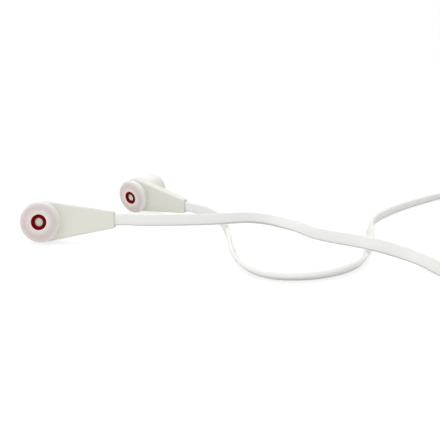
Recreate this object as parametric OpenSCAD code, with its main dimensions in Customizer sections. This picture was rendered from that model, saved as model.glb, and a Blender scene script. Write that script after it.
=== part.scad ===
// Wired earphones: two in-ear buds with paddle housings, flat ribbon cords,
// a splitter, the surplus of the main lead wound in a two-layer coil, and a 3.5 mm plug.
//
// Each bud is drawn in its own frame: +X runs down the tail, +Y is up across the
// paddle and +Z points out of the nozzle, from the front face of the paddle.

/* [Paddle housing] */
// Width of the round head
head_d = 12.6; // [12:0.1:15]
// Nozzle axis to the end of the tail
tail_l = 22.4; // [20:0.2:30]
// Height of the tail at its end
tail_h = 5.2; // [5:0.1:7]
// Thickness of the paddle at the head
body_t = 3.2; // [3:0.1:4.5]
// Thickness of the paddle at the end of the tail
tail_t = 2.4; // [2.3:0.1:3]
// Rounding of the outer edges
edge_r = 0.5; // [0.3:0.05:0.6]
// Rounding of the two corners of the tail, seen from the front
corner_r = 0.9; // [0.7:0.05:1.4]
// Thickness of the front face behind the nozzle
face_t = 0.7; // [0.6:0.05:0.9]

/* [Nozzle] */
// Outside diameter of the nozzle
nozzle_d = 3.6; // [3.4:0.1:4]
// Bore of the nozzle
nozzle_bore = 2.6; // [2:0.1:2.8]
// How far the nozzle stands out of the face
nozzle_l = 2.8; // [2.4:0.1:4]
// Thickness of the mesh disc in the mouth of the nozzle
mesh_t = 0.2; // [0.1:0.05:0.3]
// Diameter of each hole of the mesh
mesh_hole = 0.3; // [0.2:0.02:0.34]

/* [Ear tip] */
// Widest diameter of the ear tip
tip_d = 12.5; // [11:0.1:14]
// Front of the ear tip, measured from the face
tip_front = 3.4; // [3.2:0.1:5]
// Height of the widest circle of the ear tip above the face
tip_rim = 1.8; // [1.4:0.1:2.4]
// Height of the open end of the skirt above the face
tip_gap = 0.35; // [0.3:0.05:0.6]
// Wall of the skirt
tip_wall = 0.5; // [0.35:0.05:0.7]
// Outside diameter of the core of the ear tip
core_d = 4.8; // [4.6:0.1:5.6]
// Diameter of the sound hole in the front of the core
core_hole = 2.6; // [2:0.1:3]

/* [Driver] */
// Outside diameter of the round driver cup behind the paddle
cup_d = 10.4; // [10:0.1:11]
// Front face of the paddle to the back of the cup
cup_depth = 12.6; // [9:0.1:14]
// Wall of the cup
cup_wall = 0.6; // [0.5:0.05:0.7]
// Rounding of the back edge of the cup
cup_round = 1.2; // [0.8:0.1:1.6]
// Diameter of the blank cap on the back of the cup
cap_d = 7.6; // [6:0.1:8]
// Diameter of the vent in the side of the cup
vent_d = 1.0; // [0.6:0.1:1.4]
// Diameter of the magnet
magnet_d = 4.0; // [3.4:0.1:4.2]
// Thickness of the magnet
magnet_t = 1.2; // [0.8:0.1:1.6]

/* [Cords] */
// Width of the ribbon of each branch
branch_w = 3.6; // [3:0.1:4.2]
// Width of the ribbon of the main lead
main_w = 4.0; // [3.2:0.1:4.6]
// Thickness of both ribbons
ribbon_t = 1.2; // [0.9:0.05:1.3]
// How far the collar of a branch is sunk below the end of the tail
collar_sink = 0.3; // [0.2:0.05:0.6]
// Height of the collar of a branch
collar_h = 4.3; // [4.2:0.05:4.6]

/* [Splitter] */
// Length of the splitter
splitter_l = 13; // [11:0.5:20]
// Thickness of the splitter
splitter_t = 3; // [2.6:0.1:4]
// Gap between the two branches where they enter the splitter
branch_gap = 1; // [0.6:0.1:2]

/* [Coil of the main lead] */
// Radius of the outer turn, at the middle of the ribbon
coil_r = 23.25; // [21:0.25:28]
// Step from one turn to the next
coil_pitch = 2.0; // [1.9:0.05:2.3]
// Space between the two layers
layer_gap = 0.5; // [0.45:0.05:1]

/* [Plug] */
// Diameter of the plug's shaft
plug_d = 3.5; // [3.5:0.01:3.55]
// Length of the plug's shaft
plug_l = 14; // [13.6:0.1:15]
// Diameter of the plug's handle
handle_d = 7; // [6:0.1:9]
// Length of the plug's handle
handle_l = 17; // [14:0.5:22]
// Length of the strain relief behind the handle
relief_l = 8; // [6:0.5:12]

/* [Hidden] */

// Colours
shell_colour = [0.87, 0.87, 0.83];
silicone_colour = [0.93, 0.90, 0.89];
core_colour = [0.45, 0.04, 0.06];
ribbon_colour = [0.95, 0.95, 0.94];
steel_colour = [0.72, 0.72, 0.74];
copper_colour = [0.80, 0.45, 0.25];
black_colour = [0.12, 0.12, 0.13];

// Clearances: glued or clamped seats, and the slip fit of the ear tip on the nozzle
seat = 0.05;
slip = 0.05;
// Facets of the rounded housing and of small rounds
body_fn = 48;
small_fn = 24;

// Where each bud stands: x, y, turn about the vertical, rise of the tail, rise of the nozzle
left_pose = [-18.15, -29.05, -3, 2, 9];
right_pose = [4.5, 20.15, -32, -6, -9];

// Sizes worked out from the driving ones
head_r = head_d / 2;
split = tail_t / 2;
cup_r = cup_d / 2;
cup_bore_r = cup_r - cup_wall;
flange_out = 0.4;
flange_r = cup_r + flange_out;
flange_t = 0.6;
frame_r = cup_bore_r - seat;
frame_t = 2.4;
frame_floor = 0.6;
plate_t = 0.4;
yoke_wall = 0.3;
yoke_floor = 0.6;
gap_r = 0.6;
yoke_r = magnet_d / 2 + gap_r + yoke_wall;
// Bore through the middle of the motor, and the gap between magnet and voice coil
motor_bore_r = 0.4;
voice_gap = 0.2;
coil_in_r = magnet_d / 2 + voice_gap;
coil_wall = 0.2;
driver_front = face_t + seat;
motor_front = driver_front + frame_t - frame_floor;
magnet_front = motor_front + plate_t;
yoke_floor_front = magnet_front + magnet_t;
motor_back = yoke_floor_front + yoke_floor;
// Fine line turned round the cup behind the paddle, and the like ring in the blank cap
line_w = 0.3;
line_cut = 0.1;
line_front = body_t + 0.8;
line_back = line_front + line_w;
// Back of the cup to the middle of its vent
vent_in = 2.6;
cap_recess = 0.35;
cap_t = 0.7;
board_t = 0.4;
board_w = 3.2;
wire_r = 0.2;
wire_pitch = 0.7;
wire_slot = 1.6;
wire_x = frame_r - wire_r;
wire_turn = 0.5;
// How far the wires' notch goes into the wall of the cup
wire_notch = 0.35;
// How far a cutter reaches past the face that it opens
over = 0.4;
clamp_l = 2.5;
clamp_w = 3.2;
clamp_t = 1.4;
clamp_in = 6;
clamp_x = tail_l - clamp_in;
clamp_end = clamp_x + clamp_l;
// Walls of the tail above and below the collar, and the collar's own lips and neck
mouth_wall = 0.35;
collar_in = 2.4;
collar_t = tail_t - 2 * mouth_wall;
collar_lip = 0.65;
collar_neck = 0.15;

cup_steps = 5;

// Slope of the paddle's long sides, tangent to the head
end_reach = norm([tail_l, tail_h / 2]);
taper = asin(head_r / end_reach) - atan2(tail_h / 2, tail_l);
corner_x = tail_l - corner_r;
corner_y = (head_r - corner_r - corner_x * sin(taper)) / cos(taper);

// ---- Where the buds stand ----

function turn_x(v, a) = [v.x, v.y * cos(a) - v.z * sin(a), v.y * sin(a) + v.z * cos(a)];
function turn_y(v, a) = [v.x * cos(a) + v.z * sin(a), v.y, v.z * cos(a) - v.x * sin(a)];
function turn_z(v, a) = [v.x * cos(a) - v.y * sin(a), v.x * sin(a) + v.y * cos(a), v.z];
// A direction of the bud's own frame, turned into the world
function bud_way(pose, v) = turn_z(turn_y(turn_x(v, 90 - pose[4]), -pose[3]), pose[2]);
// Quarter round from the side of a turned piece to its back, as radius and height
function back_round(r, back, round_r, steps) = [for (i = [0:steps])
    [r - round_r + round_r * cos(90 * i / steps), round_r - back - round_r * sin(90 * i / steps)]];
// Front of the ear tip's dome, from its crest out to its widest circle
dome_steps = 8;
function dome(i, wall) = [
    core_d / 2 + (tip_d / 2 - wall - core_d / 2) * pow(sin(90 * i / dome_steps), 0.8),
    tip_rim + (tip_front - wall - tip_rim) * pow(cos(90 * i / dome_steps), 0.75)];
// Circles that the bud can rest on: radius, and height along the nozzle axis
rest_rims = concat([for (i = [0:dome_steps]) dome(i, 0)],
    [[head_r, -edge_r], [head_r, edge_r - body_t]],
    back_round(cup_r, cup_depth, cup_round, cup_steps));
// Height of the bud's origin that lets its lowest circle touch the surface
function rest_height(pose) = max([for (rim = rest_rims)
    rim[0] * norm([sin(pose[3]), cos(pose[3]) * cos(pose[4])])
    - rim[1] * cos(pose[3]) * sin(pose[4])]);
function bud_place(pose) = [pose[0], pose[1], rest_height(pose)];
function bud_point(pose, v) = bud_place(pose) + bud_way(pose, v);

module on_bud(pose) {
    translate(bud_place(pose))
        rotate([0, 0, pose[2]])
            rotate([0, -pose[3], 0])
                rotate([90 - pose[4], 0, 0])
                    children();
}

// ---- Paddle housing ----

// A disc with rounded edges, from z = -thick to z = 0
module rounded_disc(r, thick, edge, fn) {
    steps = 3;
    rotate_extrude($fn = fn)
        polygon(concat([[0, 0]],
            [for (i = [0:steps]) [r - edge + edge * sin(90 * i / steps),
                edge * cos(90 * i / steps) - edge]],
            [for (i = [0:steps]) [r - edge + edge * cos(90 * i / steps),
                edge - thick - edge * sin(90 * i / steps)]],
            [[0, -thick]]));
}

// The whole paddle before it is split: a round head with tangent sides down to the tail
module paddle() {
    hull() {
        rounded_disc(head_r, body_t, edge_r, body_fn);
        for (side = [-1, 1])
            translate([corner_x, side * corner_y, 0])
                rounded_disc(corner_r, tail_t, edge_r, small_fn);
    }
}

// Everything in front of the parting line, or behind it
module front_half() {
    intersection() {
        paddle();
        translate([-head_r - 1, -head_r - 1, -split])
            cube([head_r + tail_l + 2, 2 * head_r + 2, split + 1]);
    }
}

module rear_half() {
    intersection() {
        paddle();
        translate([-head_r - 1, -head_r - 1, -body_t - 1])
            cube([head_r + tail_l + 2, 2 * head_r + 2, body_t + 1 - split]);
    }
}

// A block centred on the x axis, from x0 to x1, centred on the parting line
module tail_block(x0, x1, w, t) {
    translate([x0, -w / 2, -split - t / 2])
        cube([x1 - x0, w, t]);
}

// Room in the shells for the wires, the clamp and the collar
module tail_room() {
    tail_block(wire_x - wire_r - seat, clamp_x + 0.1, wire_slot, 2 * wire_r + 0.2);
    tail_block(clamp_x - seat, clamp_end + seat, clamp_w + 2 * seat, clamp_t + 2 * seat);
    tail_block(clamp_end, tail_l - collar_in, branch_w + 0.3, ribbon_t + 0.1);
    tail_block(tail_l - collar_in - seat, tail_l + 1, collar_h + 2 * seat, collar_t + 2 * seat);
}

module front_shell() {
    color(shell_colour)
        difference() {
            union() {
                front_half();
                cylinder(h = nozzle_l, r = nozzle_d / 2, $fn = body_fn);
            }
            // Sound bore, with the seat of the mesh in its mouth
            translate([0, 0, -split - 1])
                cylinder(h = split + nozzle_l + 2, r = nozzle_bore / 2, $fn = body_fn);
            translate([0, 0, nozzle_l - mesh_t - seat])
                cylinder(h = 1, r = nozzle_bore / 2 + 0.2, $fn = body_fn);
            // Seats of the driver and of the cup's flange
            translate([0, 0, -split - 1])
                cylinder(h = split + 1 - face_t, r = frame_r + seat, $fn = body_fn);
            tail_room();
        }
}

module rear_shell() {
    color(shell_colour)
        difference() {
            rear_half();
            translate([0, 0, -body_t - 1])
                cylinder(h = body_t + 2, r = cup_r + seat, $fn = body_fn);
            translate([0, 0, -split - flange_t - seat])
                cylinder(h = flange_t + 1, r = flange_r + seat, $fn = body_fn);
            tail_room();
        }
}

// ---- Cup behind the paddle ----

module driver_cup() {
    outside = back_round(cup_r, cup_depth, cup_round, cup_steps);
    color(shell_colour)
        difference() {
            rotate_extrude($fn = body_fn)
                polygon(concat([[0, -cup_depth]],
                    [for (i = [cup_steps:-1:0]) outside[i]],
                    [[cup_r, -line_back], [cup_r - line_cut, -line_back],
                        [cup_r - line_cut, -line_front], [cup_r, -line_front],
                        [cup_r, -split - flange_t], [flange_r, -split - flange_t],
                        [flange_r, -split], [cup_bore_r, -split]],
                    back_round(cup_bore_r, cup_depth - cap_recess - cup_wall,
                        cup_round - cup_wall, cup_steps),
                    [[0, cap_recess + cup_wall - cup_depth]]));
            // Shallow seat of the blank cap
            translate([0, 0, -cup_depth - 1])
                cylinder(h = 1 + cap_recess, r = cap_d / 2 + seat, $fn = body_fn);
            // Vent at the bottom of the cup
            translate([0, 0, vent_in - cup_depth])
                rotate([90, 0, 0])
                    cylinder(h = cup_r + 1, r = vent_d / 2, $fn = small_fn);
            // Groove across the flange, deeper where the wires turn down into the cup
            translate([cup_bore_r - over, -wire_slot / 2, -split - wire_r - 2 * seat])
                cube([flange_r - cup_bore_r + 2 * over, wire_slot, 1]);
            translate([cup_bore_r - over, -wire_slot / 2, -split - wire_turn - wire_r - 2 * seat])
                cube([over + wire_notch, wire_slot, 1]);
        }
}

// Domed cap glued in the back of the cup, with a ring turned in its face
module rear_cap() {
    steps = 4;
    r = cap_d / 2;
    dome_h = cap_t - cap_recess;
    ring_r = 0.8 * r;
    color(shell_colour)
        difference() {
            translate([0, 0, cap_recess - seat - cup_depth])
                rotate_extrude($fn = body_fn)
                    polygon(concat([[0, 0], [r, 0]],
                        [for (i = [0:steps]) [r * cos(90 * i / steps),
                            -cap_recess - dome_h * sin(90 * i / steps)]]));
            ring(ring_r + line_w / 2, ring_r - line_w / 2, cup_depth + line_cut, cup_depth + cap_t);
        }
}

// ---- Nozzle mesh ----

module nozzle_mesh() {
    step = 1.45 * mesh_hole;
    mesh_r = nozzle_bore / 2 + 0.2 - seat;
    reach = core_hole / 2 - mesh_hole;
    color(steel_colour)
        translate([0, 0, nozzle_l - mesh_t])
            difference() {
                cylinder(h = mesh_t, r = mesh_r, $fn = body_fn);
                for (row = [-3:3], col = [-3:3])
                    let (x = step * (col + row / 2), y = step * row * sin(60))
                        if (norm([x, y]) < reach)
                            translate([x, y, -1])
                                cylinder(h = mesh_t + 2, r = mesh_hole / 2, $fn = 13);
            }
}

// ---- Ear tip ----

// Soft dome: a rounded front bonded to the core, and a thin skirt open to the back
module ear_tip() {
    r = tip_d / 2;
    core_r = core_d / 2;
    root = tip_front - 1.3;
    skirt_in = 0.35;
    color(silicone_colour)
        rotate_extrude($fn = body_fn)
            polygon(concat(
                [for (i = [0:dome_steps]) dome(i, 0)],
                [[r - 0.08, (tip_rim + tip_gap) / 2], [r - skirt_in, tip_gap],
                    [r - skirt_in - tip_wall, tip_gap],
                    [r - tip_wall - 0.08, (tip_rim + tip_gap) / 2]],
                [for (i = [dome_steps:-1:2]) dome(i, tip_wall)],
                [[core_r + 0.35, root], [core_r, root]]));
}

// Stiffer tube in the middle of the tip: it grips the nozzle and shows as a ring in front
module ear_tip_core() {
    core_r = core_d / 2;
    lip = nozzle_l + seat;
    color(core_colour)
        difference() {
            translate([0, 0, tip_gap])
                cylinder(h = tip_front - tip_gap, r = core_r, $fn = body_fn);
            translate([0, 0, tip_gap - 1])
                cylinder(h = lip - tip_gap + 1, r = nozzle_d / 2 + slip, $fn = body_fn);
            cylinder(h = tip_front + 1, r = core_hole / 2, $fn = body_fn);
        }
}

// ---- Driver ----

// A ring from z = -back to z = -front
module ring(r_out, r_in, front, back) {
    translate([0, 0, -back])
        difference() {
            cylinder(h = back - front, r = r_out, $fn = body_fn);
            translate([0, 0, -1])
                cylinder(h = back - front + 2, r = r_in, $fn = body_fn);
        }
}

module driver_frame() {
    color(black_colour) {
        difference() {
            ring(frame_r, yoke_r + seat, driver_front, driver_front + frame_t);
            translate([0, 0, -motor_front])
                cylinder(h = motor_front, r = frame_r - 0.4, $fn = body_fn);
            // Slot in the rim for the wires
            translate([wire_x - wire_r - 0.03, -wire_slot / 2, -motor_back])
                cube([1, wire_slot, motor_back]);
        }
    }
}

// Thin domed membrane with a rolled surround
module diaphragm() {
    film = 0.15;
    edge = frame_r - 0.4 - seat;
    middle = coil_in_r + coil_wall;
    top = driver_front + 0.25;
    rim = driver_front + 0.8;
    roll = (edge + middle) / 2;
    profile = [[0, -top], [middle * 0.6, -top - 0.15], [middle, -rim], [roll, -rim + 0.3],
        [edge - 0.3, -rim], [edge, -rim]];
    color([0.75, 0.72, 0.62])
        rotate_extrude($fn = body_fn)
            polygon(concat(profile,
                [for (i = [len(profile) - 1:-1:0]) profile[i] - [0, film]]));
}

module voice_coil() {
    color(copper_colour)
        ring(coil_in_r + coil_wall, coil_in_r, driver_front + 1.0, yoke_floor_front - 0.5);
}

module top_plate() {
    color(steel_colour)
        ring(magnet_d / 2, motor_bore_r, motor_front, magnet_front);
}

module magnet() {
    color(black_colour)
        ring(magnet_d / 2, motor_bore_r, magnet_front, yoke_floor_front);
}

module yoke() {
    color(steel_colour)
        difference() {
            ring(yoke_r, motor_bore_r, motor_front, motor_back);
            translate([0, 0, -yoke_floor_front])
                cylinder(h = yoke_floor_front, r = yoke_r - yoke_wall, $fn = body_fn);
        }
}

// Small board behind the yoke that the wires are soldered to
module terminal_board() {
    color([0.15, 0.35, 0.2])
        translate([-board_w / 2, -board_w / 4 - 0.2, -motor_back - board_t])
            cube([board_w, board_w / 2 + 0.4, board_t]);
}

// The two insulated cores of the ribbon, from the clamp to the terminal board
deep = motor_back + board_t / 2;
wire_route = [[clamp_x, -split], [wire_x + wire_turn, -split], [wire_x, -split - wire_turn],
    [wire_x, -motor_back + 2 * wire_turn], [wire_x - 2 * wire_turn, -deep], [board_w / 2, -deep]];
// The ring of points round place i of the wires' route, in a plane across it
function wire_ring(i, y) = let (last = len(wire_route) - 1, at = wire_route[i],
    way = unit(wire_route[min(i + 1, last)] - wire_route[max(i - 1, 0)]))
    [for (a = [0:45:315]) [at[0] - wire_r * cos(a) * way[1], y + wire_r * sin(a),
        at[1] + wire_r * cos(a) * way[0]]];

module driver_wires() {
    color(copper_colour)
        for (side = [-1, 1])
            skin([for (i = [0:len(wire_route) - 1]) wire_ring(i, side * wire_pitch / 2)]);
}

// ---- Where the branch is held ----

// Clamp crimped on the end of the ribbon inside the tail
module cord_clamp() {
    color(steel_colour)
        difference() {
            tail_block(clamp_x, clamp_end, clamp_w, clamp_t);
            for (side = [-1, 1])
                translate([clamp_x + clamp_l / 2, side * clamp_w / 2, -split])
                    cylinder(h = 3, r = 0.35, center = true, $fn = small_fn);
        }
}

// Rubber collar sunk in the mouth of the tail: two lips on a neck, and the ribbon's slot
module cord_collar() {
    back = tail_l - collar_in;
    front = tail_l - collar_sink;
    color(ribbon_colour)
        difference() {
            union() {
                tail_block(back, front, collar_h - 2 * collar_neck, collar_t - 2 * collar_neck);
                tail_block(back, back + collar_lip, collar_h, collar_t);
                tail_block(front - collar_lip, front, collar_h, collar_t);
            }
            tail_block(back - over, front + over, branch_w + 2 * seat, ribbon_t + 2 * seat);
        }
}

// ---- Ribbons ----

function unit(v) = v / norm(v);
// Half the height that a leaning ribbon takes
function half_height(lean, w) = abs(cos(lean)) * w / 2 + abs(sin(lean)) * ribbon_t / 2;
// A chosen point [x, y, space under the ribbon, lean] as [x, y, middle height, lean]
function lifted(p, w) = [p[0], p[1], p[2] + half_height(p[3], w), p[3]];
function place_of(p) = [p[0], p[1], p[2]];
function way_at(p, i) = unit(place_of(p[min(i + 1, len(p) - 1)]) - place_of(p[max(i - 1, 0)]));
// Directions across the ribbon: along its width, and through its thickness
function width_way(way, lean) = let (side = unit(cross(way, [0, 0, 1])))
    cos(lean) * cross(side, way) + sin(lean) * side;

// Outline of a branch's ribbon: a rectangle with its corners taken off, of 8 sides
function ribbon_outline(w) = let (c = 0.3, a = w / 2, b = ribbon_t / 2)
    [[a, b - c], [a - c, b], [c - a, b], [-a, b - c], [-a, c - b], [c - a, -b], [a - c, -b],
        [a, c - b]];
// Outline of a coiled ribbon, of 6 sides
function coil_outline(w) = let (c = 0.4, a = w / 2, b = ribbon_t / 2)
    [[a, 0], [a - c, b], [c - a, b], [-a, 0], [c - a, -b], [a - c, -b]];

// The ring of points round place i of a path of [x, y, z, lean]
function ring_at(p, i, outline) = let (way = way_at(p, i), wide = width_way(way, p[i][3]),
    thick = cross(wide, way))
    [for (q = outline) place_of(p[i]) + q[0] * wide + q[1] * thick];

// One closed tube through rings of points, its sides and ends in triangles
module skin(rings) {
    n = len(rings[0]);
    last = (len(rings) - 1) * n;
    polyhedron(
        points = [for (one = rings) each one],
        faces = concat(
            [for (i = [0:len(rings) - 2], j = [0:n - 1])
                [i * n + j, i * n + (j + 1) % n, (i + 1) * n + j]],
            [for (i = [0:len(rings) - 2], j = [0:n - 1])
                [i * n + (j + 1) % n, (i + 1) * n + (j + 1) % n, (i + 1) * n + j]],
            [for (j = [1:n - 2]) [0, j + 1, j]],
            [for (j = [1:n - 2]) [last, last + j, last + j + 1]]));
}

module swept(p, outline) {
    skin([for (i = [0:len(p) - 1]) ring_at(p, i, outline)]);
}

// Lean of the ribbon where it leaves a tilted bud
function exit_lean(pose) = let (way = bud_way(pose, [1, 0, 0]), up = bud_way(pose, [0, 1, 0]),
    side = unit(cross(way, [0, 0, 1])))
    atan2(up * side, up * cross(side, way));
// Start of a branch: from the clamp, straight through the collar, and one width past the tail
function exit_route(pose) = [for (x = [clamp_end + seat, tail_l + branch_w])
    concat(bud_point(pose, [x, 0, -split]), [exit_lean(pose)])];

// Routes by hand: x, y, space under the ribbon, and lean from standing (0) to flat (90)
left_points = [[12, -29.4, 5.6, -9], [19, -28.6, 5.4, -9], [26, -26.8, 5.1, -9],
    [33, -24.2, 4.7, -11], [39.5, -20.2, 4.2, -15], [45, -15.8, 3.5, -19], [50.3, -12.4, 2.4, -21],
    [54.3, -11.7, 1.6, -19], [58, -12.7, 0.9, -14], [61.2, -15.6, 0.6, -8], [63.6, -20.2, 0.6, -4],
    [65.7, -26.6, 0.9, -2], [68, -33.8, 1.8, 0], [70.4, -40.8, 2.8, 0], [73, -46.9, 3.7, 0],
    [76.3, -50.9, 3.95, -2], [80.3, -52.6, 3.3, -4], [84.2, -52.9, 2.2, -5],
    [87.8, -53.8, 1.2, -7], [90.8, -56.4, 0.5, -10], [92.7, -60.4, 0.1, -14],
    [94.4, -65.8, 0, -16], [97, -70.6, 0, -12], [101.4, -73.4, 0, -6], [106.4, -72.8, 0, 0],
    [110.2, -68.8, 0, 0], [112.4, -61, 0, 0], [114.8, -48.8, 0, 0], [117.6, -37.4, 0, 0],
    [120.6, -26.4, 0, 0], [123.6, -15.8, 0, 0], [126.6, -5.2, 0, 0], [129.4, 5, 0, 2],
    [132.2, 14.6, 0, 8], [135, 23.2, 0, 20], [138, 30.2, 0, 34], [141.1, 34.8, 0, 48],
    [144.4, 37.6, 0.2, 62], [148.4, 38.9, 0.6, 78]];
right_points = [[31, 5.2, 1.6, 9], [34.2, 2.2, 1, 8], [36.3, -2.4, 0.5, 5], [37.6, -8.2, 0.1, 2],
    [38.4, -15, 0, 3], [39, -22.4, 0, 6], [39.5, -32, 0, 14], [40, -42.4, 0, 28], [41, -52, 0, 44],
    [43.4, -60.6, 0, 56], [47.2, -66, 0, 64], [52, -68.4, 0, 66], [58, -68.4, 0, 63],
    [64, -66.2, 0, 58], [69.5, -62.2, 0, 50], [74, -56.6, 0, 43], [77.2, -49.4, 0, 38],
    [79.7, -41, 0, 36], [82, -32.5, 0, 32], [84.2, -23, 0, 26], [86.5, -13, 0, 20],
    [90, -3.2, 0, 18], [94.8, 5.4, 0, 20], [100, 13, 0, 22], [105.4, 20, 0, 25],
    [111, 26.6, 0, 28], [117, 33.2, 0, 30], [122.6, 39, 0, 32], [127.2, 43.6, 0, 34],
    [131.8, 47.2, 0, 40], [137.4, 49, 0, 50], [143.4, 48, 0.2, 62], [149, 45.2, 0.6, 76]];

// Splitter: its middle, and the direction in which the main lead leaves it
splitter_at = [163, 37];
splitter_turn = -20;
splitter_side = 0.9;
splitter_w = 2 * (branch_w + splitter_side) + branch_gap;
function splitter_point(x, y) = concat(splitter_at, [splitter_t / 2])
    + turn_z([x, y, 0], splitter_turn);
branch_offset = (branch_w + branch_gap) / 2;
function branch_end(side) = [for (x = [branch_w, 0])
    concat(splitter_point(-splitter_l / 2 - x, side * branch_offset), [90])];

left_route = concat(exit_route(left_pose), [for (p = left_points) lifted(p, branch_w)],
    branch_end(-1));
right_route = concat(exit_route(right_pose), [for (p = right_points) lifted(p, branch_w)],
    branch_end(1));

// ---- Coil of the main lead ----

coil_at = [153, -14];
coil_turns = 2.75;
climb_turns = 0.5;
climb_dip = 0.9;
turn_rings = 24;
coil_rings = turn_rings * (2 * coil_turns + climb_turns);
layer_step = main_w + layer_gap;
// A place on the line, along Y, that enters and leaves the outer turn
function coil_end(y, base) = [coil_at[0] + coil_r, coil_at[1] + y, main_w / 2 + base, 0];
// Radius, and share of the climb to the upper layer, after u turns
function coil_radius(u) = let (v = u - coil_turns)
    u < coil_turns ? coil_r - coil_pitch * u
    : v < climb_turns ? coil_r - coil_pitch * coil_turns - climb_dip * sin(180 * v / climb_turns)
    : coil_r - coil_pitch * (2 * coil_turns + climb_turns - u);
function coil_climb(u) = let (v = min(max((u - coil_turns) / climb_turns, 0), 1))
    v * v * (3 - 2 * v);
// A straight stretch of one ribbon's width stands before the first turn and after the last
coil_path = concat([coil_end(main_w, 0)],
    [for (i = [0:coil_rings]) let (u = i / turn_rings, r = coil_radius(u))
        [coil_at[0] + r * cos(-360 * u), coil_at[1] + r * sin(-360 * u),
            main_w / 2 + layer_step * coil_climb(u), 0]],
    [coil_end(-main_w, layer_step)]);
// Least gap of the coil to itself, measured on the points of rings over half a turn apart
coil_last = len(coil_path) - 1;
coil_points = [for (i = [0:coil_last]) ring_at(coil_path, i, coil_outline(main_w))];
coil_gap = min([for (i = [0:coil_last], j = [i + turn_rings / 2:1:coil_last])
    if (norm(place_of(coil_path[i]) - place_of(coil_path[j])) < 2 * main_w)
        each [for (a = coil_points[i], b = coil_points[j]) norm(a - b)]]);
echo(coil_gap = coil_gap);

// Main lead from the splitter to the coil, and from the coil to the plug
plug_x = 178;
plug_back_y = -42;
lead_in_points = [[176.2, 31.2, 0.8, 80], [178.4, 27.4, 0.6, 68], [179.2, 22, 0.4, 52],
    [178.8, 15.4, 0.2, 36], [178, 8.6, 0, 20], [177, 2.2, 0, 8]];
lead_out_points = [[176.6, -27.5, 3.4, 0], [177.4, -33, 2.1, 0]];
lead_in_route = concat([for (x = [0, main_w])
    concat(splitter_point(splitter_l / 2 + x, 0), [90])],
    [for (p = lead_in_points) lifted(p, main_w)],
    [coil_end(2 * main_w, 0), coil_end(main_w, 0)]);
lead_out_route = concat([coil_end(-main_w, layer_step), coil_end(-2 * main_w, layer_step)],
    [for (p = lead_out_points) lifted(p, main_w)],
    [for (y = [main_w, 0]) [plug_x, plug_back_y + y, handle_d / 2, 0]]);

module left_cord() {
    color(ribbon_colour)
        swept(left_route, ribbon_outline(branch_w));
}

module right_cord() {
    color(ribbon_colour)
        swept(right_route, ribbon_outline(branch_w));
}

module lead_to_coil() {
    color(ribbon_colour)
        swept(lead_in_route, ribbon_outline(main_w));
}

module lead_to_plug() {
    color(ribbon_colour)
        swept(lead_out_route, ribbon_outline(main_w));
}

module lead_coil() {
    color(ribbon_colour)
        swept(coil_path, coil_outline(main_w));
}

// Flat moulded block where the two branches join the main lead
module splitter() {
    round_r = 1.4;
    bevel = 0.4;
    color(shell_colour)
        translate(concat(splitter_at, [splitter_t / 2]))
            rotate([0, 0, splitter_turn]) {
                hull()
                    for (x = [-1, 1], y = [-1, 1], flat = [0, 1])
                        translate([x * (splitter_l / 2 - round_r),
                            y * (splitter_w / 2 - round_r), 0])
                            cylinder(h = splitter_t - 2 * bevel * (1 - flat),
                                r = round_r - bevel * flat, center = true, $fn = small_fn);
                for (side = [-1, 1])
                    ribbon_lip(-1, side * branch_offset, branch_w);
                ribbon_lip(1, 0, main_w);
            }
}

// Raised lip round a ribbon where it enters the splitter, at its end on the side way
module ribbon_lip(way, y, w) {
    lip_w = 0.45;
    lip_out = 0.2;
    translate([way * splitter_l / 2, y, 0])
        difference() {
            cube([2 * lip_out, w + 2 * lip_w, ribbon_t + 2 * lip_w], center = true);
            cube([2 * lip_out + over, w + 2 * seat, ribbon_t + 2 * seat], center = true);
        }
}

// ---- Plug, drawn along +X from the back of the relief and laid along -Y ----

module at_plug() {
    translate([plug_x, plug_back_y, handle_d / 2])
        rotate([0, 0, -90])
            children();
}

// Flat tapered strain relief with slots on both sides
module plug_relief() {
    back_h = main_w + 0.8;
    front_h = handle_d - 1.4;
    color(ribbon_colour)
        at_plug()
            difference() {
                hull() {
                    translate([0, -ribbon_t / 2 - 0.4, -back_h / 2])
                        cube([1, ribbon_t + 0.8, back_h]);
                    translate([relief_l - 1, -front_h / 3, -front_h / 2])
                        cube([1, front_h * 2 / 3, front_h]);
                }
                for (i = [0:2], side = [-1, 1])
                    translate([relief_l * (0.25 + 0.22 * i), side * (handle_d / 2 + 1), 0])
                        cube([0.5, 7.4 - 0.7 * i, handle_d], center = true);
            }
}

// Round handle with a shallow waist and a shoulder for the shaft
module plug_handle() {
    r = handle_d / 2;
    color(shell_colour)
        at_plug()
            translate([relief_l, 0, 0])
                rotate([0, 90, 0])
                    rotate_extrude($fn = body_fn)
                        polygon([[0, 0], [r - 0.6, 0], [r - 0.15, 0.35], [r, 0.9], [r, 2.4],
                            [r - 0.35, handle_l * 0.35], [r - 0.35, handle_l * 0.6],
                            [r, handle_l - 3], [r, handle_l - 0.8], [r - 0.5, handle_l - 0.2],
                            [r - 1, handle_l], [0, handle_l]]);
}

// Contacts and insulators of the shaft, as shares of its length from the shoulder
sleeve_end = plug_l * 0.47;
ring_start = sleeve_end + 0.6;
ring_end = ring_start + 2.2;
tip_start = ring_end + 0.6;
waist_r = 1.15;

module shaft_segment(profile) {
    at_plug()
        translate([relief_l + handle_l, 0, 0])
            rotate([0, 90, 0])
                rotate_extrude($fn = body_fn)
                    polygon(profile);
}

module plug_sleeve() {
    color(steel_colour)
        at_plug()
            translate([relief_l + handle_l, 0, 0])
                rotate([0, 90, 0])
                    cylinder(h = sleeve_end, r = plug_d / 2, $fn = body_fn);
}

module plug_ring() {
    color(steel_colour)
        shaft_segment([[0, ring_start], [plug_d / 2, ring_start], [plug_d / 2, ring_end],
            [0, ring_end]]);
}

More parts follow.
